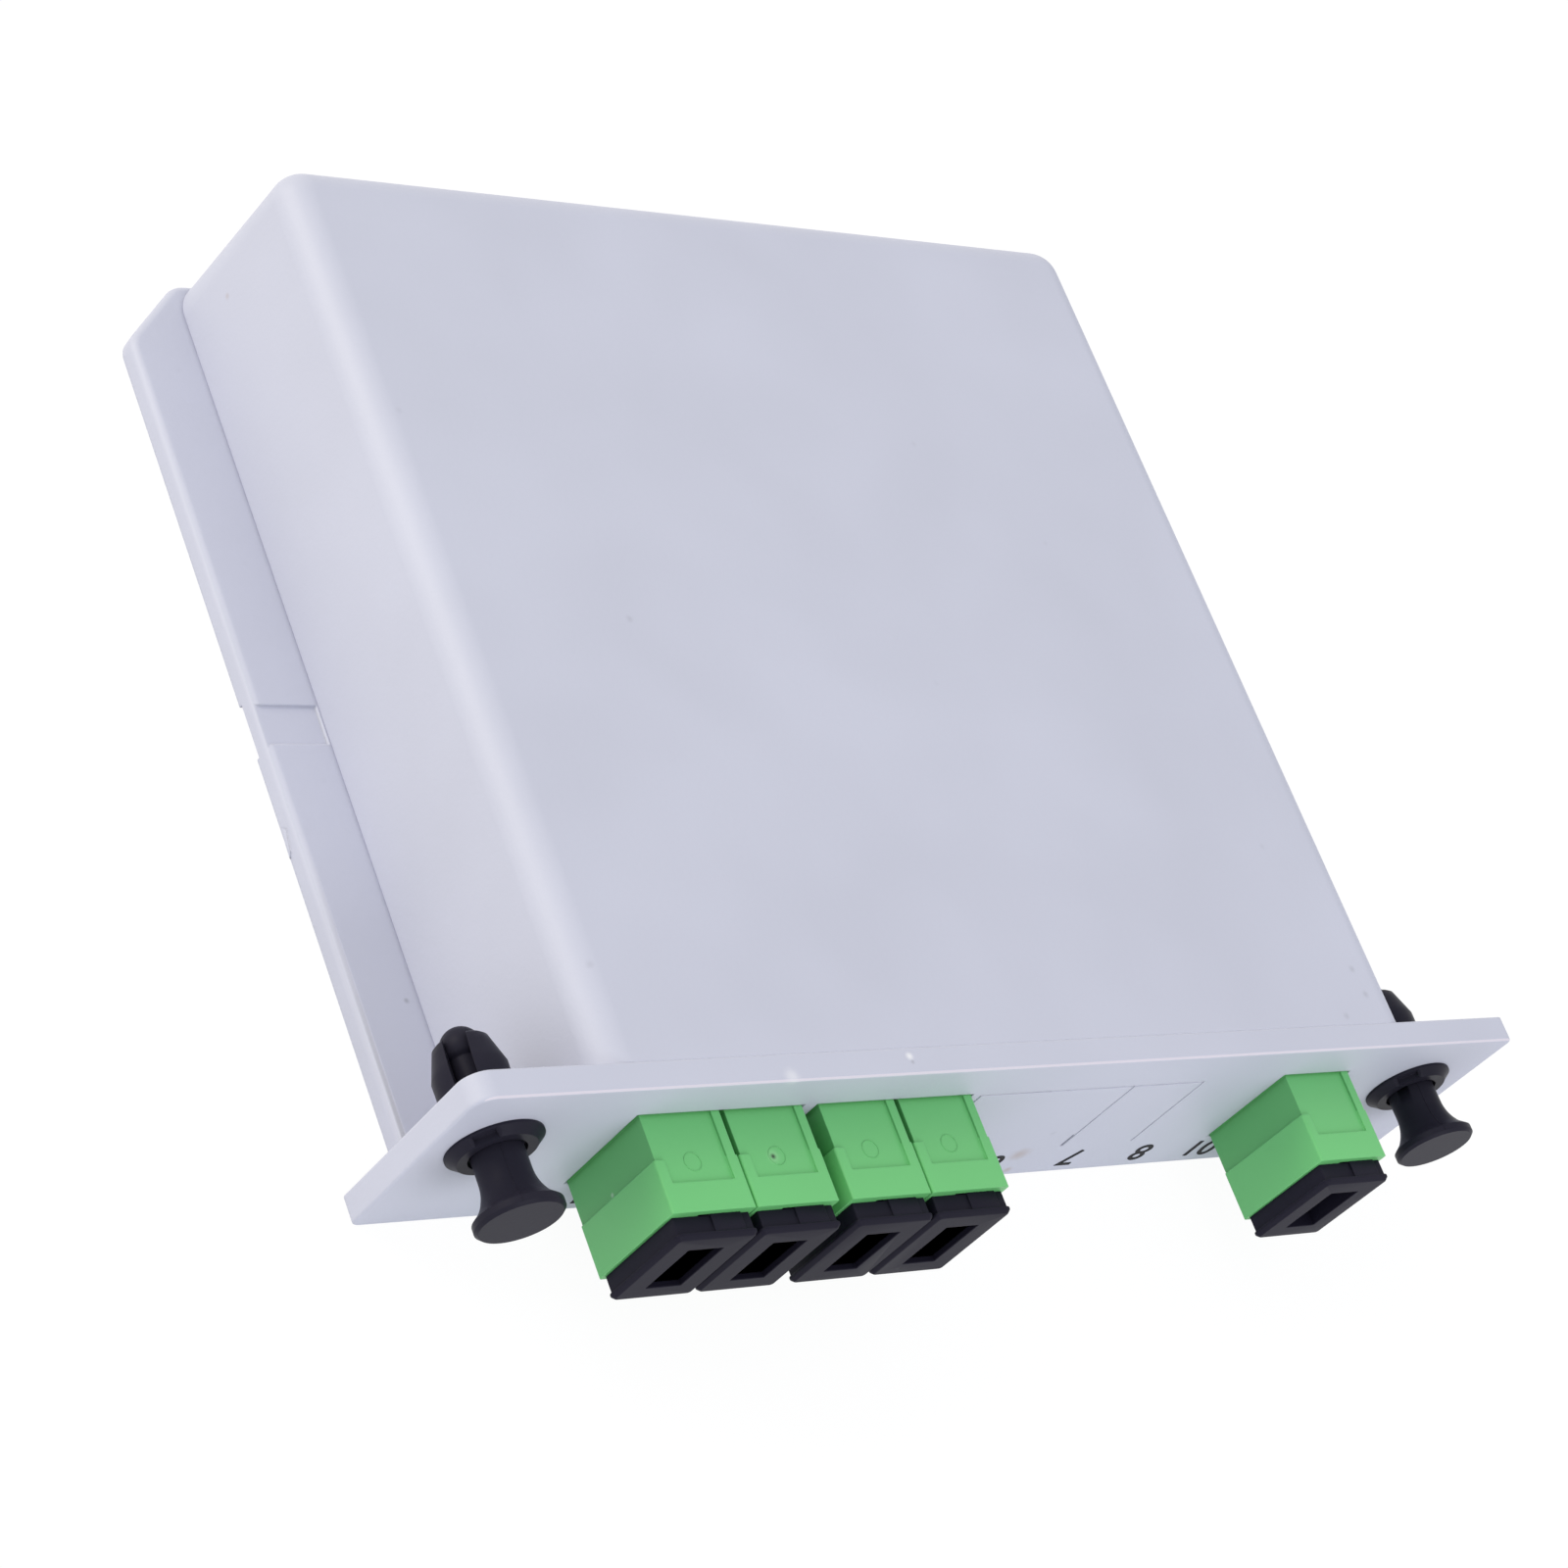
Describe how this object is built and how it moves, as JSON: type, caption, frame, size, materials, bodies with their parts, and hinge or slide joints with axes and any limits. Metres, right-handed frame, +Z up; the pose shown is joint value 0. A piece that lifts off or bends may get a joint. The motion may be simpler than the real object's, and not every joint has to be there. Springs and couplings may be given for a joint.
{
  "type": "fibre splitter cassette",
  "caption": "Slim plug-in fibre splitter cassette: moulded tray with side rails, a front panel of square green adapters with black dust plugs, a drafted cover and pull plungers",
  "frame": {"origin": "middle of the underside at the plane of the panel's back face, where the cassette stops against the frame", "axes": "+X across the panel towards the input port, +Y into the cassette, +Z up"},
  "size_m": [0.13, 0.1146, 0.0232],
  "materials": {
    "grey_case": "soft fine-textured moulded plastic",
    "green_adapter": "moulded, satin",
    "black_plug": "moulded, satin",
    "black_latch": "moulded, semi-gloss",
    "holder_white": "moulded",
    "white_ceramic": "polished",
    "boot_rubber": "soft, matt",
    "fibre_white": "extruded tube",
    "module_steel": "brushed"
  },
  "bodies": {
    "cassette": {"base_tray": "grey_case", "cover_shell": "grey_case", "splitter_module": "module_steel", "left_latch_grommet": "black_latch", "right_latch_grommet": "black_latch", "output_1_adapter": "green_adapter", "output_1_sleeve_holder": "holder_white", "output_1_split_sleeve": "white_ceramic", "output_1_connector": "green_adapter", "output_1_ferrule": "white_ceramic", "output_1_boot": "boot_rubber", "output_1_fibre": "fibre_white", "output_2_adapter": "green_adapter", "output_2_sleeve_holder": "holder_white", "output_2_split_sleeve": "white_ceramic", "output_2_connector": "green_adapter", "output_2_ferrule": "white_ceramic", "output_2_boot": "boot_rubber", "output_2_fibre": "fibre_white", "output_3_adapter": "green_adapter", "output_3_sleeve_holder": "holder_white", "output_3_split_sleeve": "white_ceramic", "output_3_connector": "green_adapter", "output_3_ferrule": "white_ceramic", "output_3_boot": "boot_rubber", "output_3_fibre": "fibre_white", "output_4_adapter": "green_adapter", "output_4_sleeve_holder": "holder_white", "output_4_split_sleeve": "white_ceramic", "output_4_connector": "green_adapter", "output_4_ferrule": "white_ceramic", "output_4_boot": "boot_rubber", "output_4_fibre": "fibre_white", "input_adapter": "green_adapter", "input_sleeve_holder": "holder_white", "input_split_sleeve": "white_ceramic", "input_connector": "green_adapter", "input_ferrule": "white_ceramic", "input_boot": "boot_rubber", "input_fibre": "fibre_white"},
    "output_1_dust_plug": {"output_1_dust_plug": "black_plug"},
    "output_2_dust_plug": {"output_2_dust_plug": "black_plug"},
    "output_3_dust_plug": {"output_3_dust_plug": "black_plug"},
    "output_4_dust_plug": {"output_4_dust_plug": "black_plug"},
    "input_dust_plug": {"input_dust_plug": "black_plug"},
    "left_latch_pin": {"left_latch_pin": "black_latch"},
    "right_latch_pin": {"right_latch_pin": "black_latch"}
  },
  "joints": [
    {"name": "left_latch_pull", "type": "slide", "parent": "cassette", "child": "left_latch_pin", "axis": [0, -1, 0], "range_m": [0, 0.004]},
    {"name": "right_latch_pull", "type": "slide", "parent": "cassette", "child": "right_latch_pin", "axis": [0, -1, 0], "range_m": [0, 0.004]},
    {"name": "output_1_plug_pull", "type": "slide", "parent": "cassette", "child": "output_1_dust_plug", "axis": [0, -1, 0], "range_m": [0, 0.014]},
    {"name": "output_2_plug_pull", "type": "slide", "parent": "cassette", "child": "output_2_dust_plug", "axis": [0, -1, 0], "range_m": [0, 0.014]},
    {"name": "output_3_plug_pull", "type": "slide", "parent": "cassette", "child": "output_3_dust_plug", "axis": [0, -1, 0], "range_m": [0, 0.014]},
    {"name": "output_4_plug_pull", "type": "slide", "parent": "cassette", "child": "output_4_dust_plug", "axis": [0, -1, 0], "range_m": [0, 0.014]},
    {"name": "input_plug_pull", "type": "slide", "parent": "cassette", "child": "input_dust_plug", "axis": [0, -1, 0], "range_m": [0, 0.014]}
  ]
}
